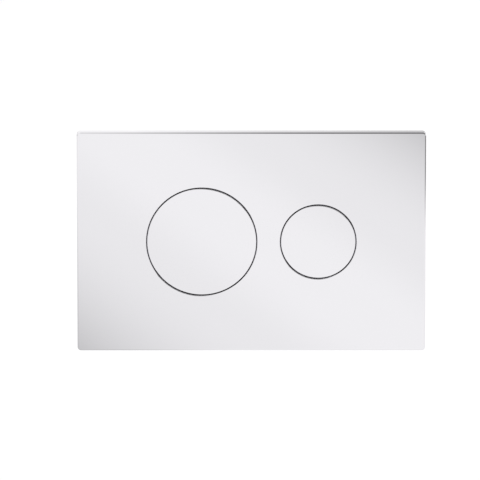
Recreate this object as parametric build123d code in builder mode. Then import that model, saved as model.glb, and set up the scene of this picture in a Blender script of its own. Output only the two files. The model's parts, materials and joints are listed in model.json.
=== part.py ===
from build123d import *

import math
import os
from dataclasses import dataclass

# Dual flush button plate for a cistern concealed in a wall.
# A chromed plate carries two round push buttons, a large one for the full flush and a small one for the half
# flush. Behind it are the carriers, springs and chassis of the buttons, the frame that is fixed over the
# service opening in the wall, and the two rods that pass the push on to the flush valve.
#
# +Z is up, +X is to the right seen from the room, and +Y goes into the wall. The origin lies on the finished
# wall, behind the centre of the plate. Lengths are in millimetres. A stand-off is a distance in front of the
# finished wall, so stand-offs are negative inside the wall.

# Front plate
PLATE_WIDTH = 250.0
PLATE_HEIGHT = 161.0
PLATE_DEPTH = 7.0
PLATE_FACE_WALL = 2.2
PLATE_RIM_WALL = 2.0
PLATE_CORNER_RADIUS = 2.5
PLATE_EDGE_CHAMFER = 0.8
RIB_WALL = 1.4
RIB_CLEARANCE = 0.2
BOSS_WALL = 2.5
BOSS_END_WALL = 1.0

# Buttons, and the collars of the plate that surround them
FULL_BUTTON_DIAMETER = 78.2
HALF_BUTTON_DIAMETER = 53.4
BUTTON_WEB = 17.8
BUTTON_GAP = 0.8
BUTTON_TRAVEL = 6.0
BUTTON_FACE_WALL = 2.0
BUTTON_SKIRT_WALL = 1.8
BUTTON_EDGE_CHAMFER = 0.35
COLLAR_WALL = 1.8
COLLAR_DEPTH = 7.5
OPENING_EDGE_CHAMFER = 0.35

# Button carriers
LEG_COUNT = 4
LEG_START_ANGLE = 45.0
LEG_WIDTH = 10.0
LEG_WALL = 2.0
ARM_WALL = 3.0
HUB_MARGIN = 1.5
HUB_SIDES = 8
FOOT_WALL = 2.0
FOOT_SHORTFALL = 0.2
SKIRT_CLEARANCE = 0.5
CAP_FIT = 0.15
HOOK_HEIGHT = 2.0
HOOK_REACH = 1.0
HOOK_POCKET_CLEARANCE = 0.2
GUSSET_WALL = 2.0
GUSSET_SIZE = 5.0
STEM_WIDTH = 12.0
STEM_RIB = 2.6
STEM_OVERRUN = 1.0
STOP_PAD_THICKNESS = 1.0
STOP_PAD_WIDTH = 7.0

# Return springs
SPRING_WIRE = 1.0
SPRING_TURNS = 5
SPRING_CLOSED_PITCH = 1.1
SPRING_SIDE_CLEARANCE = 0.6
SPRING_SEAT_CLEARANCE = 0.05
SPRING_STEPS_PER_TURN = 10
SPRING_WIRE_SIDES = 4

# Chassis behind the buttons
CHASSIS_MARGIN = 5.0
CHASSIS_WALL = 2.0
CHASSIS_RIM_WALL = 1.6
CHASSIS_RIM_HEIGHT = 6.0
CHASSIS_CORNER_CHAMFER = 3.0
CHASSIS_CLEARANCE = 1.5
CHASSIS_RIB_WALL = 1.4
CHASSIS_RIB_HEIGHT = 3.0
GUIDE_WALL = 1.8
GUIDE_CLEARANCE = 0.15
GUIDE_END_CLEARANCE = 0.7
WINDOW_WIDTH = 18.0
WINDOW_HEIGHT = 8.0
WINDOW_MARGIN = 1.2
COLUMN_WALL = 1.5
COLUMN_SEAT_WALL = 4.0

# Snap posts of the plate that hold the upper columns of the chassis
SNAP_WIDTH = 4.0
SNAP_WALL = 1.6
SNAP_REACH = 0.6
SNAP_CATCH = 0.6
SNAP_HEIGHT = 2.0
SNAP_CLEARANCE = 0.2
SNAP_FIT = 0.1

# Chassis screws
SCREW_RADIUS = 1.45
SCREW_CLEARANCE = 0.25
SCREW_HEAD_RADIUS = 2.9
SCREW_HEAD_HEIGHT = 2.2
SCREW_THREAD_FIT = 0.05

# Mounting frame
FRAME_CLEARANCE = 0.9
FRAME_WALL = 3.0
FRAME_CORNER_CHAMFER = 1.5
FRAME_SIDE_BAND = 10.0
FRAME_TOP_BAND = 17.0
SHAFT_WALL = 2.0
SHAFT_CORNER_CHAMFER = 5.0
BRIDGE_HEIGHT = 24.0
BRIDGE_WALL = 3.0
BRIDGE_RIB_WALL = 2.0
BRIDGE_RIB_HEIGHT = 8.0
EAR_STANDOFF = -8.0
EAR_WALL = 3.0
EAR_MARGIN = 7.0
EAR_GUSSET_WALL = 2.0
EAR_GUSSET_SIZE = 7.0
SLOT_CLEARANCE = 0.4
SLOT_TRAVEL = 10.0

# Clips that hold the plate on the frame
CLIP_SPACING = 140.0
CLIP_THICKNESS = 0.8
CLIP_LEG_WIDTH = 2.2
CLIP_LEG_LENGTH = 8.0
CLIP_BASE_HEIGHT = 5.0
CLIP_FIT = 0.1
POST_WIDTH = 6.0
POST_HEIGHT = 4.0
POST_NECK_WIDTH = 4.0
POST_END_STANDOFF = 1.0
POST_HOLE_CLEARANCE = 0.5
STUB_SIZE = 2.4
STUB_HEIGHT = 1.6

# Fixing studs and nuts
STUD_RADIUS = 3.0
STUD_COLLAR_SIZE = 10.0
STUD_COLLAR_LENGTH = 4.0
STUD_REACH = 46.0
STUD_OVERRUN = 1.5
NUT_RADIUS = 7.5
NUT_THICKNESS = 6.0
NUT_SIDES = 8
NUT_THREAD_FIT = 0.05

# Push rods
ROD_RADIUS = 3.0
ROD_GUIDE_CLEARANCE = 0.15
ROD_HEAD_SIZE = 14.0
ROD_HEAD_THICKNESS = 3.0
ROD_END_CLEARANCE = 1.5
ROD_LENGTH = 36.0
ROD_NUT_SIZE = 11.0
ROD_NUT_THICKNESS = 4.0
ROD_TIP_SIZE = 9.0
ROD_TIP_LENGTH = 20.0
ROD_TIP_WALL = 5.0
ROD_TIP_CHAMFER = 1.0
ROD_THREAD_ENGAGEMENT = 10.0
ROD_THREAD_FIT = 0.05


@dataclass(frozen=True)
class Button:
    """One push button: its name, the place of its centre along X and its radius."""

    name: str
    x: float
    radius: float


# Buttons, centred on the plate as a pair
PAIR_WIDTH = FULL_BUTTON_DIAMETER + BUTTON_WEB + HALF_BUTTON_DIAMETER
FULL = Button("full", (FULL_BUTTON_DIAMETER - PAIR_WIDTH) / 2, FULL_BUTTON_DIAMETER / 2)
HALF = Button("half", (PAIR_WIDTH - HALF_BUTTON_DIAMETER) / 2, HALF_BUTTON_DIAMETER / 2)
BUTTONS = (FULL, HALF)
WEB_X = FULL.x + FULL.radius + BUTTON_WEB / 2

# Stand-offs of the faces that meet, from the room into the wall
FACE = PLATE_DEPTH
PLATE_BACK = FACE - PLATE_FACE_WALL
CAP_BACK = FACE - BUTTON_FACE_WALL
ARM_BACK = CAP_BACK - ARM_WALL
COLLAR_END = FACE - COLLAR_DEPTH
FOOT_FRONT = COLLAR_END - STOP_PAD_THICKNESS
FOOT_BACK = FOOT_FRONT - FOOT_WALL
SKIRT_END = FOOT_FRONT + SKIRT_CLEARANCE
HOOK_BACK = (SKIRT_END + CAP_BACK - HOOK_HEIGHT) / 2
GUIDE_FRONT = ARM_BACK - BUTTON_TRAVEL - GUIDE_END_CLEARANCE
WEB_FRONT = FOOT_BACK - BUTTON_TRAVEL - CHASSIS_CLEARANCE
WEB_BACK = WEB_FRONT - CHASSIS_WALL
STEM_END = WEB_BACK - STEM_OVERRUN
ROD_HEAD_BACK = STEM_END - ROD_HEAD_THICKNESS
BRIDGE_FRONT = ROD_HEAD_BACK - BUTTON_TRAVEL - ROD_END_CLEARANCE
BRIDGE_BACK = BRIDGE_FRONT - BRIDGE_WALL
ROD_END = ROD_HEAD_BACK - ROD_LENGTH
ROD_TIP_FRONT = ROD_END + ROD_THREAD_ENGAGEMENT
RIB_END = FRAME_WALL + CLIP_THICKNESS + RIB_CLEARANCE
BOSS_END = 0.0
COLUMN_SEAT = BOSS_END - COLUMN_SEAT_WALL
EAR_BACK = EAR_STANDOFF - EAR_WALL

# Outlines of the chassis and of the frame, and the places that follow from them
CHASSIS_WIDTH = PAIR_WIDTH + 2 * CHASSIS_MARGIN
CHASSIS_HEIGHT = 2 * (max(FULL.radius, HALF.radius) + CHASSIS_MARGIN)
POCKET_SIZE = 2 * (SCREW_HEAD_RADIUS + SCREW_CLEARANCE)
COLUMN_SIZE = POCKET_SIZE + 2 * COLUMN_WALL
BOSS_SIZE = 2 * (SCREW_RADIUS + BOSS_WALL)
COLUMN_X = (CHASSIS_WIDTH - COLUMN_SIZE) / 2
COLUMN_Z = (CHASSIS_HEIGHT - COLUMN_SIZE) / 2
SCREW_PLACES = ((-COLUMN_X, -COLUMN_Z), (COLUMN_X, -COLUMN_Z))
SNAP_PLACES = ((-COLUMN_X, COLUMN_Z), (COLUMN_X, COLUMN_Z))
GUIDE_BORE = STEM_WIDTH + 2 * GUIDE_CLEARANCE
GUIDE_SIZE = GUIDE_BORE + 2 * GUIDE_WALL
SPRING_RADIUS = GUIDE_SIZE / math.sqrt(2) + SPRING_SIDE_CLEARANCE + SPRING_WIRE / 2
HUB_RADIUS = SPRING_RADIUS + SPRING_WIRE / 2 + HUB_MARGIN
FRAME_WIDTH = PLATE_WIDTH - 2 * (PLATE_RIM_WALL + FRAME_CLEARANCE)
FRAME_HEIGHT = PLATE_HEIGHT - 2 * (PLATE_RIM_WALL + FRAME_CLEARANCE)
SHAFT_WIDTH = FRAME_WIDTH - 2 * FRAME_SIDE_BAND
SHAFT_HEIGHT = FRAME_HEIGHT - 2 * FRAME_TOP_BAND
BAY_WIDTH = SHAFT_WIDTH - 2 * SHAFT_WALL
BAY_HEIGHT = SHAFT_HEIGHT - 2 * SHAFT_WALL
STUD_X = (CHASSIS_WIDTH + BAY_WIDTH) / 4
SLOT_WIDTH = 2 * (STUD_RADIUS + SLOT_CLEARANCE)
EAR_HEIGHT = SLOT_TRAVEL + SLOT_WIDTH + 2 * EAR_MARGIN
EAR_INNER_X = STUD_X - SLOT_WIDTH / 2 - EAR_MARGIN
CLIP_X = CLIP_SPACING / 2
CLIP_Z = (FRAME_HEIGHT - FRAME_TOP_BAND) / 2
STUB_Z = CLIP_Z - (POST_HEIGHT + CLIP_BASE_HEIGHT) / 2


def wall_plane(standoff):
    """The plane parallel to the wall, facing the room, at a stand-off."""
    return Plane.XZ.offset(standoff)


def radial_plane(button, angle):
    """The plane through a button's axis at an angle: local X goes outward and local Y is the stand-off."""
    turn = math.radians(angle)
    outward = Vector(math.cos(turn), 0, math.sin(turn))
    across = Vector(math.sin(turn), 0, -math.cos(turn))
    return Plane(origin=(button.x, 0, 0), x_dir=outward, z_dir=across)


def opening_radius(button):
    """Radius of the opening in the plate round a button."""
    return button.radius + BUTTON_GAP


def leg_outer_radius(button):
    """Distance from the button's axis to the flat outer side of a leg, whose corners clear the skirt."""
    skirt_inside = button.radius - BUTTON_SKIRT_WALL - CAP_FIT
    return math.sqrt(skirt_inside**2 - (LEG_WIDTH / 2) ** 2)


def snap_outline(snap_z):
    """Points of the side view of a snap post on a boss of the plate: depth into the wall, height."""
    catch = SNAP_FIT - COLUMN_SEAT
    return [
        (-BOSS_END, snap_z - SNAP_WALL / 2),
        (-BOSS_END, snap_z + SNAP_WALL / 2),
        (catch, snap_z + SNAP_WALL / 2),
        (catch, snap_z + SNAP_WALL / 2 + SNAP_REACH + SNAP_CATCH),
        (catch + SNAP_HEIGHT, snap_z + SNAP_WALL / 2),
        (catch + SNAP_HEIGHT, snap_z - SNAP_WALL / 2),
    ]


def build_front_plate():
    """Moulded and chromed shell: face, rim, collars of the openings, ribs, bosses, snap and clip posts."""
    inside = (PLATE_WIDTH - 2 * PLATE_RIM_WALL, PLATE_HEIGHT - 2 * PLATE_RIM_WALL)
    with BuildPart() as front_plate:
        with BuildSketch(wall_plane(0)):
            RectangleRounded(PLATE_WIDTH, PLATE_HEIGHT, PLATE_CORNER_RADIUS)
        extrude(amount=FACE)
        chamfer(front_plate.faces().sort_by(Axis.Y)[0].edges(), PLATE_EDGE_CHAMFER)
        with BuildSketch(wall_plane(0)):
            Rectangle(*inside)
        extrude(amount=PLATE_BACK, mode=Mode.SUBTRACT)
        with BuildSketch(wall_plane(RIB_END)):
            with Locations((-COLUMN_X, 0), (WEB_X, 0), (COLUMN_X, 0)):
                Rectangle(RIB_WALL, inside[1])
            with Locations((0, -COLUMN_Z), (0, COLUMN_Z)):
                Rectangle(inside[0], RIB_WALL)
        extrude(amount=PLATE_BACK - RIB_END)
        with BuildSketch(wall_plane(COLLAR_END)):
            for button in BUTTONS:
                with Locations((button.x, 0)):
                    Circle(opening_radius(button) + COLLAR_WALL)
        extrude(amount=PLATE_BACK - COLLAR_END)
        with BuildSketch(wall_plane(BOSS_END)):
            with GridLocations(2 * COLUMN_X, 2 * COLUMN_Z, 2, 2):
                Rectangle(BOSS_SIZE, BOSS_SIZE)
        extrude(amount=PLATE_BACK - BOSS_END)
        with BuildSketch(wall_plane(BOSS_END)):
            with Locations(*SCREW_PLACES):
                Circle(SCREW_RADIUS + SCREW_THREAD_FIT)
        extrude(amount=PLATE_BACK - BOSS_END - BOSS_END_WALL, mode=Mode.SUBTRACT)
        for snap_x, snap_z in SNAP_PLACES:
            with BuildSketch(Plane.YZ.offset(snap_x)):
                Polygon(*snap_outline(snap_z), align=None)
            extrude(amount=SNAP_WIDTH / 2, both=True)
        with BuildSketch(wall_plane(POST_END_STANDOFF)):
            with GridLocations(2 * CLIP_X, 2 * CLIP_Z, 2, 2):
                Rectangle(POST_WIDTH, POST_HEIGHT)
        extrude(amount=PLATE_BACK - POST_END_STANDOFF)
        with BuildSketch(wall_plane(FRAME_WALL - CLIP_FIT)):
            with GridLocations(2 * CLIP_X, 2 * CLIP_Z, 2, 2):
                Rectangle(POST_WIDTH, POST_HEIGHT)
                Rectangle(POST_NECK_WIDTH, POST_HEIGHT, mode=Mode.SUBTRACT)
        extrude(amount=CLIP_THICKNESS + 2 * CLIP_FIT, mode=Mode.SUBTRACT)
        with BuildSketch(wall_plane(COLLAR_END)):
            for button in BUTTONS:
                with Locations((button.x, 0)):
                    Circle(opening_radius(button))
        extrude(amount=FACE - COLLAR_END, mode=Mode.SUBTRACT)
        face = front_plate.faces().sort_by(Axis.Y)[0]
        chamfer(face.inner_wires().edges(), OPENING_EDGE_CHAMFER)
    front_plate.part.label = "front_plate"
    return front_plate.part


def build_cap(button):
    """Chromed button: a shallow cup with a pocket inside its skirt for each hook of the carrier."""
    pocket_depth = HOOK_REACH + HOOK_POCKET_CLEARANCE
    pocket_radius = leg_outer_radius(button) + pocket_depth / 2
    with BuildPart() as cap:
        with BuildSketch(wall_plane(SKIRT_END)):
            with Locations((button.x, 0)):
                Circle(button.radius)
        extrude(amount=FACE - SKIRT_END)
        chamfer(cap.faces().sort_by(Axis.Y)[0].edges(), BUTTON_EDGE_CHAMFER)
        with BuildSketch(wall_plane(SKIRT_END)):
            with Locations((button.x, 0)):
                Circle(button.radius - BUTTON_SKIRT_WALL)
        extrude(amount=CAP_BACK - SKIRT_END, mode=Mode.SUBTRACT)
        with BuildSketch(wall_plane(HOOK_BACK - HOOK_POCKET_CLEARANCE)):
            with Locations((button.x, 0)):
                with PolarLocations(pocket_radius, LEG_COUNT, LEG_START_ANGLE):
                    Rectangle(pocket_depth, LEG_WIDTH + 2 * HOOK_POCKET_CLEARANCE)
        extrude(amount=HOOK_HEIGHT + 2 * HOOK_POCKET_CLEARANCE, mode=Mode.SUBTRACT)
    cap.part.label = f"{button.name}_flush_button"
    return cap.part


def leg_outline(button):
    """Points of the side view of an arm and its leg: radius from the button's axis, stand-off."""
    leg_outer = leg_outer_radius(button)
    leg_inner = leg_outer - LEG_WALL
    foot_outer = opening_radius(button) + COLLAR_WALL - FOOT_SHORTFALL
    return [
        (0, CAP_BACK),
        (leg_outer, CAP_BACK),
        (leg_outer, HOOK_BACK + HOOK_HEIGHT),
        (leg_outer + HOOK_REACH, HOOK_BACK),
        (leg_outer, HOOK_BACK),
        (leg_outer, FOOT_FRONT),
        (foot_outer, FOOT_FRONT),
        (foot_outer, FOOT_BACK),
        (leg_inner, FOOT_BACK),
        (leg_inner, ARM_BACK),
        (0, ARM_BACK),
    ]


def build_carrier(button):
    """Moulded spider that snaps into the cap: hub, arms, legs with hooks and feet, and the sliding stem."""
    leg_inner = leg_outer_radius(button) - LEG_WALL
    gusset = [
        (leg_inner - GUSSET_SIZE, ARM_BACK),
        (leg_inner, ARM_BACK),
        (leg_inner, ARM_BACK - GUSSET_SIZE),
    ]
    with BuildPart() as carrier:
        with BuildSketch(wall_plane(ARM_BACK)):
            with Locations((button.x, 0)):
                RegularPolygon(HUB_RADIUS, HUB_SIDES, major_radius=False)
        extrude(amount=ARM_WALL)
        for leg in range(LEG_COUNT):
            angle = LEG_START_ANGLE + 360 * leg / LEG_COUNT
            with BuildSketch(radial_plane(button, angle)):
                Polygon(*leg_outline(button), align=None)
            extrude(amount=LEG_WIDTH / 2, both=True)
            with BuildSketch(radial_plane(button, angle)):
                Polygon(*gusset, align=None)
            extrude(amount=GUSSET_WALL / 2, both=True)
        with BuildSketch(wall_plane(STEM_END)):
            with Locations((button.x, 0)):
                Rectangle(STEM_WIDTH, STEM_RIB)
                Rectangle(STEM_RIB, STEM_WIDTH)
        extrude(amount=ARM_BACK - STEM_END)
    carrier.part.label = f"{button.name}_button_carrier"
    return carrier.part


def build_stop_pads(button):
    """Soft pads on the feet of the carrier, which stop the button quietly against the collar."""
    with BuildPart() as stop_pads:
        with BuildSketch(wall_plane(FOOT_FRONT)):
            with Locations((button.x, 0)):
                with PolarLocations(opening_radius(button) + COLLAR_WALL / 2, LEG_COUNT, LEG_START_ANGLE):
                    Rectangle(COLLAR_WALL - 2 * FOOT_SHORTFALL, STOP_PAD_WIDTH)
        extrude(amount=STOP_PAD_THICKNESS)
    stop_pads.part.label = f"{button.name}_stop_pads"
    return stop_pads.part


def spring_plane(button, turn):
    """Section plane of the spring's wire after a number of turns, counted from the chassis."""
    start = WEB_FRONT + SPRING_WIRE / 2 + SPRING_SEAT_CLEARANCE
    length = ARM_BACK - SPRING_WIRE / 2 - SPRING_SEAT_CLEARANCE - start
    open_pitch = (length - 2 * SPRING_CLOSED_PITCH) / (SPRING_TURNS - 2)
    closed_start = min(turn, 1)
    opened = min(max(turn - 1, 0), SPRING_TURNS - 2)
    closed_end = max(turn - (SPRING_TURNS - 1), 0)
    standoff = start + SPRING_CLOSED_PITCH * (closed_start + closed_end) + open_pitch * opened
    angle = math.tau * turn
    outward = Vector(math.cos(angle), 0, math.sin(angle))
    along = Vector(-math.sin(angle), 0, math.cos(angle))
    centre = Vector(button.x, -standoff, 0) + outward * SPRING_RADIUS
    return Plane(origin=centre, x_dir=outward, z_dir=along)


def build_spring(button):
    """Compression spring with closed end turns, round the guide of the chassis."""
    with BuildPart() as spring:
        for step in range(SPRING_TURNS * SPRING_STEPS_PER_TURN + 1):
            with BuildSketch(spring_plane(button, step / SPRING_STEPS_PER_TURN)):
                RegularPolygon(SPRING_WIRE / 2, SPRING_WIRE_SIDES)
        loft(ruled=True)
    spring.part.label = f"{button.name}_return_spring"
    return spring.part


def build_chassis():
    """Moulded tray held to the back of the plate, with a square guide for the stem of each button."""
    inside = (CHASSIS_WIDTH - 2 * CHASSIS_RIM_WALL, CHASSIS_HEIGHT - 2 * CHASSIS_RIM_WALL)
    rib_back = WEB_BACK - CHASSIS_RIB_HEIGHT
    window_z = SPRING_RADIUS + SPRING_WIRE / 2 + WINDOW_MARGIN + WINDOW_HEIGHT / 2
    with BuildPart() as chassis:
        with BuildSketch(wall_plane(WEB_BACK)) as web:
            Rectangle(CHASSIS_WIDTH, CHASSIS_HEIGHT)
            chamfer(web.vertices(), CHASSIS_CORNER_CHAMFER)
            for button in BUTTONS:
                with Locations((button.x, -window_z), (button.x, window_z)):
                    Rectangle(WINDOW_WIDTH, WINDOW_HEIGHT, mode=Mode.SUBTRACT)
        extrude(amount=CHASSIS_WALL)
        with BuildSketch(wall_plane(rib_back)):
            with Locations((-COLUMN_X, 0), (WEB_X, 0), (COLUMN_X, 0)):
                Rectangle(CHASSIS_RIB_WALL, 2 * COLUMN_Z)
            with Locations((0, -COLUMN_Z), (0, COLUMN_Z)):
                Rectangle(2 * COLUMN_X, CHASSIS_RIB_WALL)
        extrude(amount=CHASSIS_RIB_HEIGHT)
        with BuildSketch(wall_plane(WEB_FRONT)) as rim:
            Rectangle(CHASSIS_WIDTH, CHASSIS_HEIGHT)
            chamfer(rim.vertices(), CHASSIS_CORNER_CHAMFER)
            Rectangle(*inside, mode=Mode.SUBTRACT)
        extrude(amount=CHASSIS_RIM_HEIGHT)
        with BuildSketch(wall_plane(WEB_FRONT)):
            for button in BUTTONS:
                with Locations((button.x, 0)):
                    Rectangle(GUIDE_SIZE, GUIDE_SIZE)
        extrude(amount=GUIDE_FRONT - WEB_FRONT)
        with BuildSketch(wall_plane(WEB_BACK)):
            for button in BUTTONS:
                with Locations((button.x, 0)):
                    Rectangle(GUIDE_BORE, GUIDE_BORE)
        extrude(amount=GUIDE_FRONT - WEB_BACK, mode=Mode.SUBTRACT)
        with BuildSketch(wall_plane(rib_back)):
            with GridLocations(2 * COLUMN_X, 2 * COLUMN_Z, 2, 2):
                Rectangle(COLUMN_SIZE, COLUMN_SIZE)
        extrude(amount=BOSS_END - rib_back)
        with BuildSketch(wall_plane(rib_back)):
            with GridLocations(2 * COLUMN_X, 2 * COLUMN_Z, 2, 2):
                Rectangle(POCKET_SIZE, POCKET_SIZE)
        extrude(amount=COLUMN_SEAT - rib_back, mode=Mode.SUBTRACT)
        with BuildSketch(wall_plane(COLUMN_SEAT)):
            with Locations(*SCREW_PLACES):
                Circle(SCREW_RADIUS + SCREW_CLEARANCE)
            with Locations(*SNAP_PLACES):
                Rectangle(SNAP_WIDTH + 2 * SNAP_CLEARANCE, SNAP_WALL + 2 * (SNAP_REACH + SNAP_CLEARANCE))
        extrude(amount=COLUMN_SEAT_WALL, mode=Mode.SUBTRACT)
    chassis.part.label = "button_chassis"
    return chassis.part


def build_chassis_screws():
    """Screws with hexagonal heads, through the lower columns of the chassis into the bosses of the plate."""
    with BuildPart() as screws:
        with BuildSketch(wall_plane(COLUMN_SEAT - SCREW_HEAD_HEIGHT)):
            with Locations(*SCREW_PLACES):
                RegularPolygon(SCREW_HEAD_RADIUS, 6)
        extrude(amount=SCREW_HEAD_HEIGHT)
        with BuildSketch(wall_plane(COLUMN_SEAT)):
            with Locations(*SCREW_PLACES):
                Circle(SCREW_RADIUS)
        extrude(amount=PLATE_BACK - 2 * BOSS_END_WALL - COLUMN_SEAT)
    screws.part.label = "chassis_screws"
    return screws.part


def build_mounting_frame():
    """Frame on the wall: a band, a shaft into the service opening, ears for the studs and a rod bridge."""
    with BuildPart() as frame:
        with BuildSketch(wall_plane(0)) as band:
            Rectangle(FRAME_WIDTH, FRAME_HEIGHT)
            chamfer(band.vertices(), FRAME_CORNER_CHAMFER)
        extrude(amount=FRAME_WALL)
        with BuildSketch(wall_plane(BRIDGE_BACK)) as shaft:
            Rectangle(SHAFT_WIDTH, SHAFT_HEIGHT)
            chamfer(shaft.vertices(), SHAFT_CORNER_CHAMFER)
        extrude(amount=FRAME_WALL - BRIDGE_BACK)
        with BuildSketch(wall_plane(BRIDGE_BACK)) as bay:
            Rectangle(BAY_WIDTH, BAY_HEIGHT)
            chamfer(bay.vertices(), SHAFT_CORNER_CHAMFER - SHAFT_WALL * (2 - math.sqrt(2)))
        extrude(amount=FRAME_WALL - BRIDGE_BACK, mode=Mode.SUBTRACT)
        with BuildSketch(wall_plane(BRIDGE_BACK)):
            Rectangle(2 * EAR_INNER_X, BRIDGE_HEIGHT)
            for button in BUTTONS:
                with Locations((button.x, 0)):
                    Circle(ROD_RADIUS + ROD_GUIDE_CLEARANCE, mode=Mode.SUBTRACT)
        extrude(amount=BRIDGE_WALL)
        with BuildSketch(wall_plane(BRIDGE_BACK)):
            with GridLocations(0, BRIDGE_HEIGHT - BRIDGE_RIB_WALL, 1, 2):
                Rectangle(BAY_WIDTH, BRIDGE_RIB_WALL)
        extrude(amount=BRIDGE_RIB_HEIGHT)
        with BuildSketch(wall_plane(EAR_BACK)):
            with GridLocations(EAR_INNER_X + BAY_WIDTH / 2, 0, 2, 1):
                Rectangle(BAY_WIDTH / 2 - EAR_INNER_X, EAR_HEIGHT)
            with GridLocations(2 * STUD_X, 0, 2, 1):
                Rectangle(SLOT_WIDTH, SLOT_TRAVEL + SLOT_WIDTH, mode=Mode.SUBTRACT)
        extrude(amount=EAR_WALL)
        for side in (-1, 1):
            gusset = [
                (side * BAY_WIDTH / 2, -EAR_STANDOFF),
                (side * (BAY_WIDTH / 2 - EAR_GUSSET_SIZE), -EAR_STANDOFF),
                (side * BAY_WIDTH / 2, -EAR_STANDOFF - EAR_GUSSET_SIZE),
            ]
            for gusset_z in (-EAR_HEIGHT / 2, EAR_HEIGHT / 2 - EAR_GUSSET_WALL):
                with BuildSketch(Plane.XY.offset(gusset_z)):
                    Polygon(*gusset, align=None)
                extrude(amount=EAR_GUSSET_WALL)
        with BuildSketch(wall_plane(0)):
            with GridLocations(2 * CLIP_X, 2 * CLIP_Z, 2, 2):
                Rectangle(POST_WIDTH + 2 * POST_HOLE_CLEARANCE, POST_HEIGHT + 2 * POST_HOLE_CLEARANCE)
        extrude(amount=FRAME_WALL, mode=Mode.SUBTRACT)
        with BuildSketch(wall_plane(FRAME_WALL)):
            for side in (-1, 1):
                with Locations((-CLIP_X, side * STUB_Z), (CLIP_X, side * STUB_Z)):
                    Rectangle(STUB_SIZE, STUB_SIZE)
        extrude(amount=STUB_HEIGHT)
    frame.part.label = "mounting_frame"
    return frame.part


def build_plate_clips():
    """Flat spring forks on the frame, whose legs grip the necks of the posts of the plate."""
    gap = POST_NECK_WIDTH + 2 * CLIP_FIT
    base_width = gap + 2 * CLIP_LEG_WIDTH
    with BuildPart() as clips:
        with BuildSketch(wall_plane(FRAME_WALL)):
            for side in (-1, 1):
                base_edge = STUB_Z - CLIP_BASE_HEIGHT / 2
                clip_height = CLIP_BASE_HEIGHT + CLIP_LEG_LENGTH
                clip_middle = side * (base_edge + clip_height / 2)
                slot_middle = side * (base_edge + CLIP_BASE_HEIGHT + CLIP_LEG_LENGTH / 2)
                with Locations((-CLIP_X, clip_middle), (CLIP_X, clip_middle)):
                    Rectangle(base_width, clip_height)
                with Locations((-CLIP_X, slot_middle), (CLIP_X, slot_middle)):
                    Rectangle(gap, CLIP_LEG_LENGTH, mode=Mode.SUBTRACT)
                with Locations((-CLIP_X, side * STUB_Z), (CLIP_X, side * STUB_Z)):
                    Rectangle(STUB_SIZE + 2 * CLIP_FIT, STUB_SIZE + 2 * CLIP_FIT, mode=Mode.SUBTRACT)
        extrude(amount=CLIP_THICKNESS)
    clips.part.label = "plate_clips"
    return clips.part


def build_fixing_studs():
    """Threaded studs that hold the frame to the cistern, each with a hexagonal collar behind its ear."""
    collar_back = EAR_BACK - STUD_COLLAR_LENGTH
    stud_front = EAR_STANDOFF + NUT_THICKNESS + STUD_OVERRUN
    with BuildPart() as studs:
        with BuildSketch(wall_plane(collar_back - STUD_REACH)):
            with GridLocations(2 * STUD_X, 0, 2, 1):
                Circle(STUD_RADIUS)
        extrude(amount=STUD_REACH)
        with BuildSketch(wall_plane(collar_back)):
            with GridLocations(2 * STUD_X, 0, 2, 1):
                RegularPolygon(STUD_COLLAR_SIZE / 2, 6, major_radius=False)
        extrude(amount=STUD_COLLAR_LENGTH)
        with BuildSketch(wall_plane(EAR_BACK)):
            with GridLocations(2 * STUD_X, 0, 2, 1):
                Circle(STUD_RADIUS)
        extrude(amount=stud_front - EAR_BACK)
    studs.part.label = "fixing_studs"
    return studs.part


def build_fixing_nuts():
    """Thumb nuts on the studs, in front of the ears of the frame."""
    with BuildPart() as nuts:
        with BuildSketch(wall_plane(EAR_STANDOFF)):
            with GridLocations(2 * STUD_X, 0, 2, 1):
                RegularPolygon(NUT_RADIUS, NUT_SIDES)
                Circle(STUD_RADIUS + NUT_THREAD_FIT, mode=Mode.SUBTRACT)
        extrude(amount=NUT_THICKNESS)
    nuts.part.label = "fixing_nuts"
    return nuts.part


def build_push_rod(button):
    """Rod with a hexagonal head, which the stem of the button pushes through the bridge of the frame."""
    with BuildPart() as rod:
        with BuildSketch(wall_plane(ROD_HEAD_BACK)):
            with Locations((button.x, 0)):
                RegularPolygon(ROD_HEAD_SIZE / 2, 6, major_radius=False)
        extrude(amount=ROD_HEAD_THICKNESS)
        with BuildSketch(wall_plane(ROD_END)):
            with Locations((button.x, 0)):
                Circle(ROD_RADIUS)
        extrude(amount=ROD_LENGTH)
    rod.part.label = f"{button.name}_push_rod"
    return rod.part


def build_rod_nut(button):
    """Lock nut in front of the adjustable tip of a rod."""
    with BuildPart() as nut:
        with BuildSketch(wall_plane(ROD_TIP_FRONT)):
            with Locations((button.x, 0)):
                RegularPolygon(ROD_NUT_SIZE / 2, 6, major_radius=False)
                Circle(ROD_RADIUS + ROD_THREAD_FIT, mode=Mode.SUBTRACT)
        extrude(amount=ROD_NUT_THICKNESS)
    nut.part.label = f"{button.name}_rod_locknut"
    return nut.part


def build_rod_tip(button):
    """Hexagonal tip screwed on the end of a rod, which sets how far the rod reaches to the flush valve."""
    tip_end = ROD_TIP_FRONT - ROD_TIP_LENGTH
    with BuildPart() as tip:
        with BuildSketch(wall_plane(tip_end)):
            with Locations((button.x, 0)):
                RegularPolygon(ROD_TIP_SIZE / 2, 6, major_radius=False)
        extrude(amount=ROD_TIP_LENGTH)
        chamfer(tip.faces().sort_by(Axis.Y)[-1].edges(), ROD_TIP_CHAMFER)
        with BuildSketch(wall_plane(tip_end + ROD_TIP_WALL)):
            with Locations((button.x, 0)):
                Circle(ROD_RADIUS + ROD_THREAD_FIT)
        extrude(amount=ROD_TIP_LENGTH - ROD_TIP_WALL, mode=Mode.SUBTRACT)
    tip.part.label = f"{button.name}_rod_tip"
    return tip.part


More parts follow.
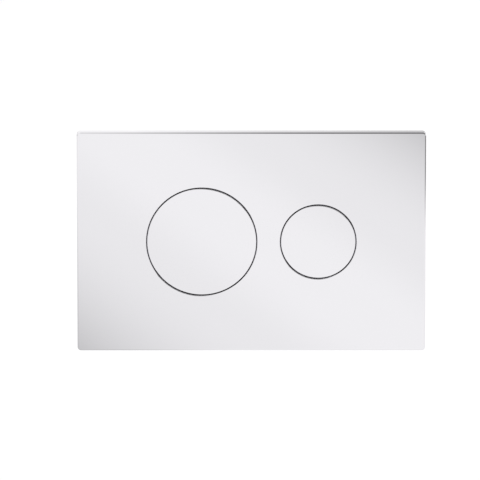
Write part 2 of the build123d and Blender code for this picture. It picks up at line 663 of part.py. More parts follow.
def main():
    """Builds every piece and writes each as one STEP file, named by its label."""
    pieces = [
        build_front_plate(),
        build_chassis(),
        build_chassis_screws(),
        build_mounting_frame(),
        build_plate_clips(),
        build_fixing_studs(),
        build_fixing_nuts(),
    ]
    for button in BUTTONS:
        pieces += [
            build_cap(button),
            build_carrier(button),
            build_stop_pads(button),
            build_spring(button),
            build_push_rod(button),
            build_rod_nut(button),
            build_rod_tip(button),
        ]
    os.makedirs("parts", exist_ok=True)
    for piece in pieces:
        export_step(piece, f"parts/{piece.label}.step")


main()
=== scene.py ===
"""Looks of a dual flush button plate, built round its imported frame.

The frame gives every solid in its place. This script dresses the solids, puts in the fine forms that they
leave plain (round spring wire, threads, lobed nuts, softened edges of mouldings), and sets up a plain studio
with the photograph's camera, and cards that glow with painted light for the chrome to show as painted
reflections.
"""

import json
import logging
import math
from collections.abc import Callable
from dataclasses import dataclass
from enum import Enum

import bmesh
import bpy
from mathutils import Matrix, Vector

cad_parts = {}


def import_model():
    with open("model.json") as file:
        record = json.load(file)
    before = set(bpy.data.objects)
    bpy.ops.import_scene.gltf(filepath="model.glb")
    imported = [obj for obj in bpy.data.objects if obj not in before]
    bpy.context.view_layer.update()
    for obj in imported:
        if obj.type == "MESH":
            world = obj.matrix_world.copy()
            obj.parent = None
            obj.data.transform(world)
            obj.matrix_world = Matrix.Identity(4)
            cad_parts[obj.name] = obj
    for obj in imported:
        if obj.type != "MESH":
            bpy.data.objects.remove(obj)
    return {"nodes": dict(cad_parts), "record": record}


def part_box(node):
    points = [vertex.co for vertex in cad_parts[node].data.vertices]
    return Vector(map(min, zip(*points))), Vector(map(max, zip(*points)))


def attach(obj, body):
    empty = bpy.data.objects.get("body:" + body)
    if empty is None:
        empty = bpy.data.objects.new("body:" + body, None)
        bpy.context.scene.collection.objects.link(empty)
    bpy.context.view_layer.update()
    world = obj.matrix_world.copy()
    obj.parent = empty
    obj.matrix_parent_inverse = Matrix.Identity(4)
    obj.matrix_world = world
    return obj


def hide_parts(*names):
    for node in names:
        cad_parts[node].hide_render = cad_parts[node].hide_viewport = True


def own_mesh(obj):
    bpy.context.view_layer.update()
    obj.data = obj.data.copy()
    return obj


LOG = logging.getLogger("flush_plate")
MM = 0.001
SIXTH = math.tau / 6
# Angle between faces from which an edge is sharp, and distance within which two points are one.
SHARP_ANGLE = math.radians(30)
CLOSE = 0.001 * MM
Color = tuple[float, float, float]
Point = tuple[float, float, float]
Span = tuple[float, float]
WHITE = (1.0, 1.0, 1.0, 1.0)


class Flush(Enum):
    """The two flushes, by the first word of their nodes."""

    FULL = "full"
    HALF = "half"


class Ease(Enum):
    """How a value goes from one end of its range to the other."""

    EVEN = "LINEAR"
    SOFT = "SMOOTHSTEP"


class Graph:
    """A node tree that is filled one node at a time."""

    def __init__(self, tree: bpy.types.NodeTree) -> None:
        """Takes a node tree and empties it."""
        self.tree = tree
        tree.nodes.clear()

    def add(self, kind: str, settings: dict[str, object] | None = None, **inputs: object) -> bpy.types.Node:
        """Adds a node and feeds its inputs.

        Args:
            kind: Blender's name for the kind of node.
            settings: Attributes of the node itself.
            inputs: Values or output sockets for its inputs, with underscores for blanks in their names.

        Returns:
            The new node.
        """
        node = self.tree.nodes.new(kind)
        for name, value in (settings or {}).items():
            setattr(node, name, value)
        for name, source in inputs.items():
            self.feed(node.inputs[name.replace("_", " ")], source)
        return node

    def feed(self, target: bpy.types.NodeSocket, source: object) -> None:
        """Links an output socket to an input, or sets the input to a value.

        Args:
            target: The input socket.
            source: An output socket or a value.
        """
        if isinstance(source, bpy.types.NodeSocket):
            self.tree.links.new(source, target)
        else:
            target.default_value = source

    def math(self, operation: str, first: object, second: object = 0.0) -> bpy.types.NodeSocket:
        """Adds a math node.

        Args:
            operation: Blender's name for the operation.
            first: The first value or socket.
            second: The second value or socket.

        Returns:
            The node's output.
        """
        node = self.add("ShaderNodeMath", {"operation": operation})
        self.feed(node.inputs[0], first)
        self.feed(node.inputs[1], second)
        return node.outputs[0]

    def spread(self, noise: bpy.types.NodeSocket, middle: object, spread: object) -> bpy.types.NodeSocket:
        """Turns a noise from 0 to 1 into a value that varies about a middle.

        Args:
            noise: The noise.
            middle: The middle value.
            spread: How far the value goes to each side.

        Returns:
            The varying value.
        """
        swing = self.math("MULTIPLY_ADD", noise, 2.0)
        self.feed(swing.node.inputs[2], -1.0)
        return self.math("ADD", self.math("MULTIPLY", swing, spread), middle)

    def mix(self, share: object, first: object, second: object) -> bpy.types.NodeSocket:
        """Mixes two values.

        Args:
            share: Share of the second value, from 0 to 1.
            first: The first value or socket.
            second: The second value or socket.

        Returns:
            The mixed value.
        """
        node = self.add("ShaderNodeMix", {"data_type": "FLOAT"}, Factor=share)
        self.feed(node.inputs[2], first)
        self.feed(node.inputs[3], second)
        return node.outputs[0]

    def span(self, value: object, given: Span, wanted: Span, ease: Ease) -> bpy.types.NodeSocket:
        """Maps one range of values on another, and keeps inside it.

        Args:
            value: The value or socket to map.
            given: The range it comes in.
            wanted: The range to give.
            ease: How it goes from one end to the other.

        Returns:
            The mapped value.
        """
        node = self.add("ShaderNodeMapRange", {"interpolation_type": ease.value}, Value=value)
        for socket, number in zip(("From Min", "From Max", "To Min", "To Max"), (*given, *wanted)):
            node.inputs[socket].default_value = number
        return node.outputs[0]


class Skin(Enum):
    """How the skin of a finish was made, by the name of its node group."""

    MOULDED = "moulded_skin"
    DRAWN = "drawn_skin"


class Effects:
    """The shader node groups that the finishes share, each built when it is first asked for."""

    # Scale of the noise along each axis: even on mouldings, in streaks along the depth on drawn steel.
    STRETCH = {Skin.MOULDED: Vector((1, 1, 1)), Skin.DRAWN: Vector((1, 0.06, 1))}
    GRAIN_DETAIL = 3.0
    DRIFT_DETAIL = 4.0
    INPUTS = ("Roughness", "Grain Scale", "Drift Scale", "Tint Spread", "Gloss Spread")
    OUTPUTS = ("Roughness", "Height")

    def __init__(self) -> None:
        """Starts with no groups."""
        self.groups: dict[Skin, bpy.types.NodeTree] = {}

    def group(self, skin: Skin) -> bpy.types.NodeTree:
        """Gives the group of a skin.

        Args:
            skin: How the skin was made.

        Returns:
            The node group.
        """
        if skin not in self.groups:
            self.groups[skin] = self._build(skin)
        return self.groups[skin]

    def _build(self, skin: Skin) -> bpy.types.NodeTree:
        """Builds the group of a skin: a fine grain, and a slow drift of tint and gloss.

        Args:
            skin: How the skin was made.

        Returns:
            The node group.
        """
        tree = bpy.data.node_groups.new(skin.value, "ShaderNodeTree")
        graph = Graph(tree)
        for side, values in (("INPUT", self.INPUTS), ("OUTPUT", self.OUTPUTS)):
            tree.interface.new_socket("Color", in_out=side, socket_type="NodeSocketColor")
            for value in values:
                tree.interface.new_socket(value, in_out=side, socket_type="NodeSocketFloat")
        given = graph.add("NodeGroupInput").outputs
        place = graph.add("ShaderNodeTexCoord").outputs["Object"]
        place = graph.add("ShaderNodeMapping", Vector=place, Scale=self.STRETCH[skin]).outputs[0]
        grain, drift = (
            graph.add("ShaderNodeTexNoise", Vector=place, Scale=given[scale], Detail=detail).outputs[0]
            for scale, detail in (("Grain Scale", self.GRAIN_DETAIL), ("Drift Scale", self.DRIFT_DETAIL))
        )
        tint = graph.add("ShaderNodeVectorMath", {"operation": "SCALE"})
        graph.feed(tint.inputs[0], given["Color"])
        graph.feed(tint.inputs["Scale"], graph.spread(drift, 1.0, given["Tint Spread"]))
        gloss = graph.math("DIVIDE", graph.math("ADD", grain, drift), 2.0)
        roughness = graph.spread(gloss, given["Roughness"], given["Gloss Spread"])
        graph.add("NodeGroupOutput", Color=tint.outputs[0], Roughness=roughness, Height=grain)
        return tree


@dataclass(frozen=True)
class Finish:
    """One finish: its colour and gloss, and how they vary over the surface.

    Attributes:
        slot: The record's material slot.
        color: Base colour, linear.
        roughness: Roughness in the middle of its range.
        metallic: 1 for metal and 0 for plastic and rubber.
        skin: How the skin was made.
        grain: Size of the grain, in metres.
        relief: Depth of the grain, in metres.
        drift: Size of the slow drift of tint and gloss, in metres.
        tint_spread: Share by which the colour drifts.
        gloss_spread: How far the roughness drifts.
    """

    slot: str
    color: Color
    roughness: float
    metallic: float = 0.0
    skin: Skin = Skin.MOULDED
    grain: float = 0.5 * MM
    relief: float = 0.01 * MM
    drift: float = 30 * MM
    tint_spread: float = 0.03
    gloss_spread: float = 0.06

    def material(self, effects: Effects) -> bpy.types.Material:
        """Builds the material.

        Args:
            effects: The shared node groups.

        Returns:
            The material.
        """
        material = bpy.data.materials.new(self.slot)
        material.use_nodes = True
        graph = Graph(material.node_tree)
        skin = graph.add(
            "ShaderNodeGroup",
            {"node_tree": effects.group(self.skin)},
            Color=(*self.color, 1.0),
            Roughness=self.roughness,
            Grain_Scale=1 / self.grain,
            Drift_Scale=1 / self.drift,
            Tint_Spread=self.tint_spread,
            Gloss_Spread=self.gloss_spread,
        )
        bump = graph.add("ShaderNodeBump", Distance=self.relief, Height=skin.outputs["Height"])
        shader = graph.add(
            "ShaderNodeBsdfPrincipled",
            Base_Color=skin.outputs["Color"],
            Roughness=self._roughness(graph, skin.outputs["Roughness"]),
            Metallic=self.metallic,
            Normal=bump.outputs[0],
        )
        graph.add("ShaderNodeOutputMaterial", Surface=shader.outputs[0])
        return material

    def _roughness(self, graph: Graph, roughness: bpy.types.NodeSocket) -> bpy.types.NodeSocket:
        """Gives the roughness of the surface, which is that of the skin."""
        return roughness


@dataclass(frozen=True)
class PlatedFinish(Finish):
    """Plating that is bright outside and dull inside the shell, where the mould wasn't polished.

    Attributes:
        inside: Half width, depth and half height of the shell's inside, in metres.
        dull_roughness: Roughness inside.
    """

    inside: Point = (123.1 * MM, 5.05 * MM, 78.6 * MM)
    dull_roughness: float = 0.38

    def _roughness(self, graph: Graph, roughness: bpy.types.NodeSocket) -> bpy.types.NodeSocket:
        """Makes the inside of the shell dull.

        Args:
            graph: The material's nodes.
            roughness: The roughness outside.

        Returns:
            The roughness of the whole surface.
        """
        place = graph.add("ShaderNodeTexCoord").outputs["Object"]
        axes = graph.add("ShaderNodeSeparateXYZ", Vector=place).outputs
        half_width, depth, half_height = self.inside
        across = graph.math("LESS_THAN", graph.math("ABSOLUTE", axes["X"]), half_width)
        upright = graph.math("LESS_THAN", graph.math("ABSOLUTE", axes["Z"]), half_height)
        behind = graph.math("GREATER_THAN", axes["Y"], -depth)
        within = graph.math("MULTIPLY", graph.math("MULTIPLY", across, upright), behind)
        return graph.mix(within, roughness, self.dull_roughness)


FINISHES = (
    PlatedFinish(
        "chrome_plating", (0.866, 0.857, 0.882), roughness=0.05, metallic=1.0,
        grain=6 * MM, relief=0.0004 * MM, drift=60 * MM, tint_spread=0.004, gloss_spread=0.015,
    ),
    Finish("chassis_plastic", (0.52, 0.54, 0.56), roughness=0.46),
    Finish("frame_plastic", (0.78, 0.78, 0.75), roughness=0.42),
    Finish("carrier_plastic", (0.055, 0.06, 0.066), roughness=0.38),
    Finish("stop_rubber", (0.022, 0.022, 0.023), roughness=0.75, grain=0.3 * MM, relief=0.03 * MM),
    Finish(
        "spring_steel", (0.60, 0.60, 0.61), roughness=0.22, metallic=1.0,
        skin=Skin.DRAWN, relief=0.002 * MM,
    ),
    Finish(
        "zinc_steel", (0.66, 0.67, 0.69), roughness=0.30, metallic=1.0,
        skin=Skin.DRAWN, relief=0.004 * MM,
    ),
    Finish("nut_plastic", (0.05, 0.16, 0.42), roughness=0.40),
    Finish("full_rod_plastic", (0.74, 0.74, 0.71), roughness=0.38),
    Finish("half_rod_plastic", (0.24, 0.42, 0.62), roughness=0.38),
)


class Wardrobe:
    """The materials of the part, one for each slot of the record."""

    def __init__(self, record: dict) -> None:
        """Builds every material.

        Args:
            record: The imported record.
        """
        effects = Effects()
        self.materials = {finish.slot: finish.material(effects) for finish in FINISHES}
        self.slots = {row["node"]: row["material_slot"] for row in record["subparts"]}

    def dress_node(self, name: str, node: bpy.types.Object) -> None:
        """Puts the material of its slot on a solid of the frame."""
        node.data.materials.clear()
        node.data.materials.append(self.materials[self.slots[name]])

    def dress_piece(self, piece: bpy.types.Object, node: str) -> None:
        """Gives a new piece the slot and the material of the node that it stands for."""
        piece.data.materials.append(self.materials[self.slots[node]])


class RingSkin:
    """A skin round an axis along +Y, laid ring by ring from the room into the wall."""

    # Share of the pitch at each row of a turn, and whether the row runs along the crest.
    THREAD_PROFILE = ((0.0, False), (0.25, False), (0.5625, True), (0.6875, True))

    def __init__(self, x: float, z: float, sides: int) -> None:
        """Starts an empty skin.

        Args:
            x: Place of the axis across the plate.
            z: Height of the axis.
            sides: Points in each ring.
        """
        self.x, self.z, self.sides = x, z, sides
        self.form = bmesh.new()
        self.rings: list[list[bmesh.types.BMVert]] = []

    def _points(
        self, radius: Callable[[float], float], depth: Callable[[float], float]
    ) -> list[bmesh.types.BMVert]:
        """Makes the points of one ring.

        Args:
            radius: Radius at each angle.
            depth: Depth into the wall at each angle.

        Returns:
            The points in order.
        """
        points = []
        for side in range(self.sides):
            angle = math.tau * side / self.sides
            reach = radius(angle)
            place = (self.x + reach * math.cos(angle), depth(angle), self.z + reach * math.sin(angle))
            points.append(self.form.verts.new(place))
        return points

    def ring(self, radius: Callable[[float], float], depth: float) -> None:
        """Adds a ring with its radius at each angle, and joins it to the one before."""
        self._join(self._points(radius, lambda angle: depth))

    def circle(self, radius: float, depth: float) -> None:
        """Adds a round ring."""
        self.ring(lambda angle: radius, depth)

    def hexagon(self, across: float, depth: float) -> None:
        """Adds a six-sided ring, by its width across the flats."""
        self.ring(lambda angle: across / 2 / math.cos(angle % SIXTH - SIXTH / 2), depth)

    def hexagonal_block(self, across: float, edge: float, front: float, back: float) -> None:
        """Adds a six-sided block with softened edges at both ends.

        Args:
            across: Width across its flats.
            edge: Width of the softened edges.
            front: Depth of its front.
            back: Depth of its back.
        """
        self.hexagon(across - 2 * edge, front)
        self.hexagon(across, front + edge)
        self.hexagon(across, back - edge)
        self.hexagon(across - 2 * edge, back)

    def thread(self, crest: float, root: float, pitch: float, start: float, end: float) -> None:
        """Adds a screw thread, whose rows run along the helix.

        Args:
            crest: Radius of the crests.
            root: Radius of the roots.
            pitch: Distance between turns.
            start: Depth of the first turn.
            end: Depth of the last turn.
        """
        step = len(self.THREAD_PROFILE)
        turns = math.ceil((end - start) / pitch) + 1
        rows = []
        for row in range(turns * step + 1):
            share, crested = self.THREAD_PROFILE[row % step]
            first = start + pitch * (row // step + share - 1)

            def depth(angle: float, first: float = first) -> float:
                """Depth of the row at an angle, kept between the thread's ends."""
                return min(max(first + pitch * angle / math.tau, start), end)

            def radius(angle: float, first: float = first, crested: bool = crested) -> float:
                """Radius of the row at an angle, with the root at the thread's ends."""
                clear = start < first + pitch * angle / math.tau < end
                return crest if crested and clear else root

            rows.append(self._points(radius, depth))
        self._join(rows[0])
        for row, points in enumerate(rows[:-1]):
            for side in range(self.sides - 1):
                self._face(points[side], points[side + 1], rows[row + 1][side + 1], rows[row + 1][side])
            low = rows[min(row + step, len(rows) - 1)][0]
            high = rows[min(row + step + 1, len(rows) - 1)][0]
            self._face(points[-1], low, high, rows[row + 1][-1])
        self.rings.append(rows[-1])

    def _face(self, *points: bmesh.types.BMVert) -> None:
        """Adds a face, unless two of its points are the same."""
        if len(set(points)) == len(points):
            self.form.faces.new(points)

    def _join(self, points: list[bmesh.types.BMVert]) -> None:
        """Joins a ring to the one before with a band of faces.

        Args:
            points: The new ring.
        """
        if self.rings:
            self._band(self.rings[-1], points)
        self.rings.append(points)

    def _band(self, before: list[bmesh.types.BMVert], after: list[bmesh.types.BMVert]) -> None:
        """Lays faces between two rings.

        Args:
            before: The ring nearer to the room.
            after: The ring nearer to the wall.
        """
        for side in range(self.sides):
            follow = (side + 1) % self.sides
            self._face(before[side], before[follow], after[follow], after[side])

    def finish(self, name: str, bored: bool = False) -> bpy.types.Mesh:
        """Closes the skin and makes a mesh of it.

        Args:
            name: The mesh's name.
            bored: Whether the skin closes on itself round a bore, and has no ends.

        Returns:
            The mesh.
        """
        if bored:
            self._band(self.rings[-1], self.rings[0])
        else:
            self.form.faces.new(self.rings[0])
            self.form.faces.new(self.rings[-1])
        return finish_mesh(self.form, name)


def finish_mesh(form: bmesh.types.BMesh, name: str, sharp: float = SHARP_ANGLE) -> bpy.types.Mesh:
    """Cleans a form and turns it into a mesh, smooth but for its sharp edges.

    Args:
        form: The form, which is used up.
        name: The mesh's name.
        sharp: Angle between faces from which an edge is sharp.

    Returns:
        The mesh.
    """
    bmesh.ops.remove_doubles(form, verts=form.verts, dist=CLOSE)
    bmesh.ops.dissolve_degenerate(form, edges=form.edges, dist=CLOSE)
    bmesh.ops.recalc_face_normals(form, faces=form.faces)
    for face in form.faces:
        face.smooth = True
    for edge in form.edges:
        edge.smooth = edge.is_manifold and edge.calc_face_angle(0.0) < sharp
    mesh = bpy.data.meshes.new(name)
    form.to_mesh(mesh)
    form.free()
    return mesh


def place_piece(mesh: bpy.types.Mesh, node: str, wardrobe: Wardrobe) -> bpy.types.Object:
    """Puts a new piece in the scene in place of a node, on its body and in its finish.

    Args:
        mesh: The piece's mesh, in the frame.
        node: The node that it stands for.
        wardrobe: The materials.

    Returns:
        The piece.
    """
    bodies = FRAME["record"]["behaviour"]["bodies"]
    body = next(name for name, nodes in bodies.items() if node in nodes)
    piece = bpy.data.objects.new(mesh.name, mesh)
    bpy.context.scene.collection.objects.link(piece)
    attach(piece, body)
    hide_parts(node)
    wardrobe.dress_piece(piece, node)
    LOG.info("%s stands for %s on %s, %d faces", piece.name, node, body, len(mesh.polygons))
    return piece


def find_pins() -> list[dict]:
    """Lists the record's pins, which are the ends of the studs in the cistern."""
    return [mount for mount in FRAME["record"]["mounts"] if mount["kind"] == "pin"]


@dataclass
class SoftMoulding:
    """A moulded piece that has the form of its solid, with softened outer edges.

    Attributes:
        node: The solid that it stands for.
        edge: Width of the softened edges.
        shortest: Length under which an edge is left as it is, as the small steps of a round hole are.
        flat: Angle between faces up to which they are one flat.
        turn: Angle between faces from which their edge is softened.
        sharp: Angle between faces from which an edge that is left is sharp.
        fold: Angle between faces from which one of them is a sliver that folds back.
    """

    node: str
    edge: float = 0.4 * MM
    shortest: float = 1.2 * MM
    flat: float = math.radians(0.5)
    turn: float = math.radians(35)
    sharp: float = math.radians(60)
    fold: float = math.radians(120)

    def build(self, wardrobe: Wardrobe) -> None:
        """Builds the piece where its node is.

        Args:
            wardrobe: The materials.
        """
        form = bmesh.new()
        form.from_mesh(FRAME["nodes"][self.node].data)
        bmesh.ops.remove_doubles(form, verts=form.verts, dist=CLOSE)
        bmesh.ops.dissolve_limit(form, angle_limit=self.flat, verts=form.verts, edges=form.edges)
        edges = [edge for edge in form.edges if self._is_soft(edge)]
        bmesh.ops.bevel(form, geom=edges, offset=self.edge, segments=1, affect="EDGES", loop_slide=True)
        self._close_slivers(form)
        piece = place_piece(finish_mesh(form, f"{self.node}_moulding", self.sharp), self.node, wardrobe)
        piece.modifiers.new("even_shading", "WEIGHTED_NORMAL").keep_sharp = True

    def _is_soft(self, edge: bmesh.types.BMEdge) -> bool:
        """Tells whether an edge is an outer one, and long enough to be softened."""
        return edge.calc_face_angle_signed(0.0) > self.turn and edge.calc_length() > self.shortest

    def _close_slivers(self, form: bmesh.types.BMesh) -> None:
        """Closes the slivers that fold back where a softened edge ends.

        Args:
            form: The form of the piece.
        """
        form.normal_update()
        folds = [edge for edge in form.edges if edge.calc_face_angle(0.0) > self.fold]
        slivers = dict.fromkeys(min(edge.link_faces, key=lambda face: face.calc_area()) for edge in folds)
        sides = [min(sliver.edges, key=lambda side: side.calc_length()) for sliver in slivers]
        bmesh.ops.collapse(form, edges=sides)


@dataclass
class ReturnSpring:
    """Compression spring of one button, with round wire and closed ends.

    Attributes:
        flush: The flush it belongs to.
        wire: Thickness of the wire.
        turns: Turns from end to end.
        closed_pitch: Pitch of the first and last turn.
        steps: Sections in each turn.
        sides: Points in each section.
    """

    flush: Flush
    wire: float = 1.0 * MM
    turns: int = 5
    closed_pitch: float = 1.1 * MM
    steps: int = 48
    sides: int = 12

    def build(self, wardrobe: Wardrobe) -> None:
        """Builds the spring where its node is.

        Args:
            wardrobe: The materials.
        """
        node = f"{self.flush.value}_return_spring"
        low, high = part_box(node)
        coil = finish_mesh(self._coil(low, high), f"{self.flush.value}_spring_coil")
        piece = place_piece(coil, node, wardrobe)
        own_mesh(piece)

    def _coil(self, low: Vector, high: Vector) -> bmesh.types.BMesh:
        """Winds the wire, from the end at the wall to the end at the button.

        Args:
            low: Lowest corner of the spring's box.
            high: Highest corner of the spring's box.

        Returns:
            The form of the wire.
        """
        centre = (low + high) / 2
        reach = (high.x - low.x - self.wire) / 2
        first, last = low.y + self.wire / 2, high.y - self.wire / 2
        pitch = (last - first - 2 * self.closed_pitch) / (self.turns - 2)
        form = bmesh.new()
        sections = []
        for step in range(self.turns * self.steps + 1):
            turn = step / self.steps
            closed = min(turn, 1) + max(turn - self.turns + 1, 0)
            depth = last - closed * self.closed_pitch - min(max(turn - 1, 0), self.turns - 2) * pitch
            angle = math.tau * turn
            section = []
            for side in range(self.sides):
                round_wire = math.tau * side / self.sides
                radius = reach + self.wire / 2 * math.cos(round_wire)
                place = (
                    centre.x + radius * math.cos(angle),
                    depth + self.wire / 2 * math.sin(round_wire),
                    centre.z + radius * math.sin(angle),
                )
                section.append(form.verts.new(place))
            sections.append(section)
        for before, after in zip(sections, sections[1:]):
            for side in range(self.sides):
                follow = (side + 1) % self.sides
                form.faces.new((before[side], before[follow], after[follow], after[side]))
        form.faces.new(sections[0])
        form.faces.new(sections[-1])
        return form


@dataclass
class PushButton:
    """One button with its carrier, pads and spring.

    Attributes:
        flush: The flush it works.
    """

    flush: Flush

    def build(self, wardrobe: Wardrobe) -> None:
        """Builds the carrier and the spring; the cap and the pads are solids of the frame."""
        SoftMoulding(f"{self.flush.value}_button_carrier").build(wardrobe)
        ReturnSpring(self.flush).build(wardrobe)


@dataclass
class PushRod:
    """Rod of one button, with a hexagonal head and a thread for its tip.

    Attributes:
        flush: The flush it works.
        head_across: Width of the head across its flats.
        head_length: Thickness of the head.
        crest: Radius of the rod and of the thread's crests.
        root: Radius of the thread's roots.
        pitch: Pitch of the thread.
        thread_length: Length of the thread.
        edge: Width of the rounded edges.
        sides: Points round the rod.
    """

    flush: Flush
    head_across: float = 14.0 * MM
    head_length: float = 3.0 * MM
    crest: float = 3.0 * MM
    root: float = 2.45 * MM
    pitch: float = 1.6 * MM
    thread_length: float = 21.0 * MM
    edge: float = 0.4 * MM
    sides: int = 36

    def build(self, wardrobe: Wardrobe) -> None:
        """Builds the rod with its lock nut and its tip.

        Args:
            wardrobe: The materials.
        """
        node = f"{self.flush.value}_push_rod"
        low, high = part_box(node)
        axis = (low + high) / 2
        skin = RingSkin(axis.x, axis.z, self.sides)
        head_back = low.y + self.head_length
        skin.hexagonal_block(self.head_across, self.edge, low.y, head_back)
        skin.circle(self.crest, head_back)
        thread_start = high.y - self.thread_length
        skin.circle(self.crest, thread_start - self.edge)
        skin.thread(self.crest, self.root, self.pitch, thread_start, high.y - self.edge)
        skin.circle(self.root - self.edge, high.y)
        place_piece(skin.finish(f"{self.flush.value}_threaded_rod"), node, wardrobe)
        for end in ("locknut", "tip"):
            SoftMoulding(f"{self.flush.value}_rod_{end}").build(wardrobe)


@dataclass
class ChassisScrews:
    """The screws of the chassis, with dished hexagonal heads.

    Attributes:
        head_across: Width of a head across its flats.
        head_length: Thickness of a head.
        dish: Radius of the dish in a head.
        dish_depth: Depth of the dish.
        crest: Radius of the thread's crests.
        root: Radius of the thread's roots.
        pitch: Pitch of the thread.
        edge: Width of the rounded edges.
        sides: Points round a screw.
    """

    head_across: float = 5.0 * MM
    head_length: float = 2.2 * MM
    dish: float = 1.5 * MM
    dish_depth: float = 0.5 * MM
    crest: float = 1.45 * MM
    root: float = 1.1 * MM
    pitch: float = 1.1 * MM
    edge: float = 0.2 * MM
    sides: int = 24

    def build(self, wardrobe: Wardrobe) -> None:
        """Builds both screws as one piece.

        Args:
            wardrobe: The materials.
        """
        node = "chassis_screws"
        low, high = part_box(node)
        corner = self.head_across / 2 / math.cos(SIXTH / 2)
        form = bmesh.new()
        for x in (low.x + corner, high.x - corner):
            skin = RingSkin(x, (low.z + high.z) / 2, self.sides)
            seat = high.y - self.head_length
            skin.circle(self.root - self.edge, low.y)
            skin.thread(self.crest, self.root, self.pitch, low.y + self.edge, seat - self.edge)
            skin.circle(self.crest, seat)
            skin.hexagon(self.head_across, seat)
            skin.hexagon(self.head_across, high.y - self.edge)
            skin.hexagon(self.head_across - 2 * self.edge, high.y)
            skin.circle(self.dish, high.y)
            skin.circle(self.dish - self.edge, high.y - self.dish_depth)
            form.from_mesh(skin.finish("screw"))
        place_piece(finish_mesh(form, "dished_screws"), node, wardrobe)


@dataclass
class FixingStuds:
    """The studs that hold the frame to the cistern, threaded on both sides of a hexagonal collar.

    Attributes:
        collar_across: Width of the collar across its flats.
        collar_length: Length of the collar.
        root: Radius of the thread's roots.
        pitch: Pitch of the thread.
        edge: Width of the rounded edges.
        sides: Points round a stud.
    """

    collar_across: float = 10.0 * MM
    collar_length: float = 4.0 * MM
    root: float = 2.5 * MM
    pitch: float = 1.0 * MM
    edge: float = 0.4 * MM
    sides: int = 36

    def build(self, wardrobe: Wardrobe) -> None:
        """Builds both studs as one piece.

        Args:
            wardrobe: The materials.
        """
        node = "fixing_studs"
        low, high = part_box(node)
        form = bmesh.new()
        for pin in find_pins():
            x, middle, z = pin["pos_m"]
            crest = pin["dims"]["r_mm"] * MM
            collar_back = middle - pin["dims"]["length_mm"] * MM / 2
            collar_front = collar_back - self.collar_length
            skin = RingSkin(x, z, self.sides)
            skin.circle(self.root - self.edge, low.y)
            skin.thread(crest, self.root, self.pitch, low.y + self.edge, collar_front)
            skin.hexagonal_block(self.collar_across, self.edge, collar_front, collar_back)
            skin.circle(self.root, collar_back)
            skin.thread(crest, self.root, self.pitch, collar_back + self.edge, high.y - self.edge)
            skin.circle(self.root - self.edge, high.y)
            form.from_mesh(skin.finish("stud"))
        place_piece(finish_mesh(form, "threaded_studs"), node, wardrobe)


@dataclass
class ThumbNuts:
    """The nuts of the studs, with lobes for the fingers.

    Attributes:
        lobes: Number of lobes.
        hollow: Depth of the hollows between the lobes.
        power: Power of the sine that shapes the hollows; a higher one makes them narrower.
        bore: Radius of the bore.
        edge: Width of the rounded edges.
        sides: Points round a nut.
    """

    lobes: int = 8
    hollow: float = 0.9 * MM
    power: int = 4
    bore: float = 3.05 * MM
    edge: float = 0.6 * MM
    sides: int = 96

    def build(self, wardrobe: Wardrobe) -> None:
        """Builds both nuts as one piece.

        Args:
            wardrobe: The materials.
        """
        node = "fixing_nuts"
        low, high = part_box(node)
        reach = (high.z - low.z) / 2
        form = bmesh.new()
        for pin in find_pins():
            x, _, z = pin["pos_m"]
            skin = RingSkin(x, z, self.sides)
            skin.circle(self.bore, low.y)
            skin.ring(self._lobed(reach - self.edge), low.y)
            skin.ring(self._lobed(reach), low.y + self.edge)
            skin.ring(self._lobed(reach), high.y - self.edge)
            skin.ring(self._lobed(reach - self.edge), high.y)
            skin.circle(self.bore, high.y)
            form.from_mesh(skin.finish("nut", bored=True))
        place_piece(finish_mesh(form, "lobed_nuts"), node, wardrobe)

    def _lobed(self, reach: float) -> Callable[[float], float]:
        """Gives the radius at each angle of an outline with lobes of this reach."""
        return lambda angle: reach - self.hollow * math.sin(self.lobes * angle / 2) ** self.power


@dataclass
class Camera:
    """The photograph's camera.

    Attributes:
        elevation: Angle above the horizon, in degrees.
        distance: Distance from the plate's face.
        view_width: Width of what is seen at the plate's face.
        aside: How far the picture's middle lies to the right of the plate's.
        above: How far the picture's middle lies above the plate's, along the picture.
        sensor: Width of the sensor, in Blender's millimetres.
        farthest: Distance up to which things are seen.
    """

    elevation: float = 13.95
    distance: float = 6.0
    view_width: float = 344.3 * MM
    aside: float = -8.14 * MM
    above: float = 1.42 * MM
    sensor: float = 36.0
    farthest: float = 60.0

    def build(self, face: float) -> None:
        """Makes the camera and aims it at the plate's face.

        Args:
            face: Depth of the plate's face.
        """
        tilt = math.radians(self.elevation)
        back = Vector((0, -math.cos(tilt), math.sin(tilt)))
        up = Vector((0, math.sin(tilt), math.cos(tilt)))
        data = bpy.data.cameras.new("camera")
        data.sensor_width = self.sensor
        data.lens = self.sensor * self.distance / self.view_width
        data.clip_end = self.farthest
        camera = bpy.data.objects.new("camera", data)
        target = Vector((self.aside, face, 0)) + up * self.above
        camera.location = target + back * self.distance
        camera.rotation_euler = (-back).to_track_quat("-Z", "Y").to_euler()
        bpy.context.scene.collection.objects.link(camera)
        bpy.context.scene.camera = camera


@dataclass(frozen=True)
class Lamp:
    """A soft box.

    Attributes:
        name: Its name.
        place: Where it stands; it faces the plate.
        size: Width of its square face.
        power: Its power in watts.
    """

    name: str
    place: Point
    size: float
    power: float

    def build(self) -> None:
        """Makes the lamp."""
        data = bpy.data.lights.new(self.name, "AREA")
        data.shape = "SQUARE"
        data.size = self.size
        data.energy = self.power
        lamp = bpy.data.objects.new(self.name, data)
        lamp.location = self.place
        lamp.rotation_euler = (-Vector(self.place)).to_track_quat("-Z", "Y").to_euler()
        bpy.context.scene.collection.objects.link(lamp)


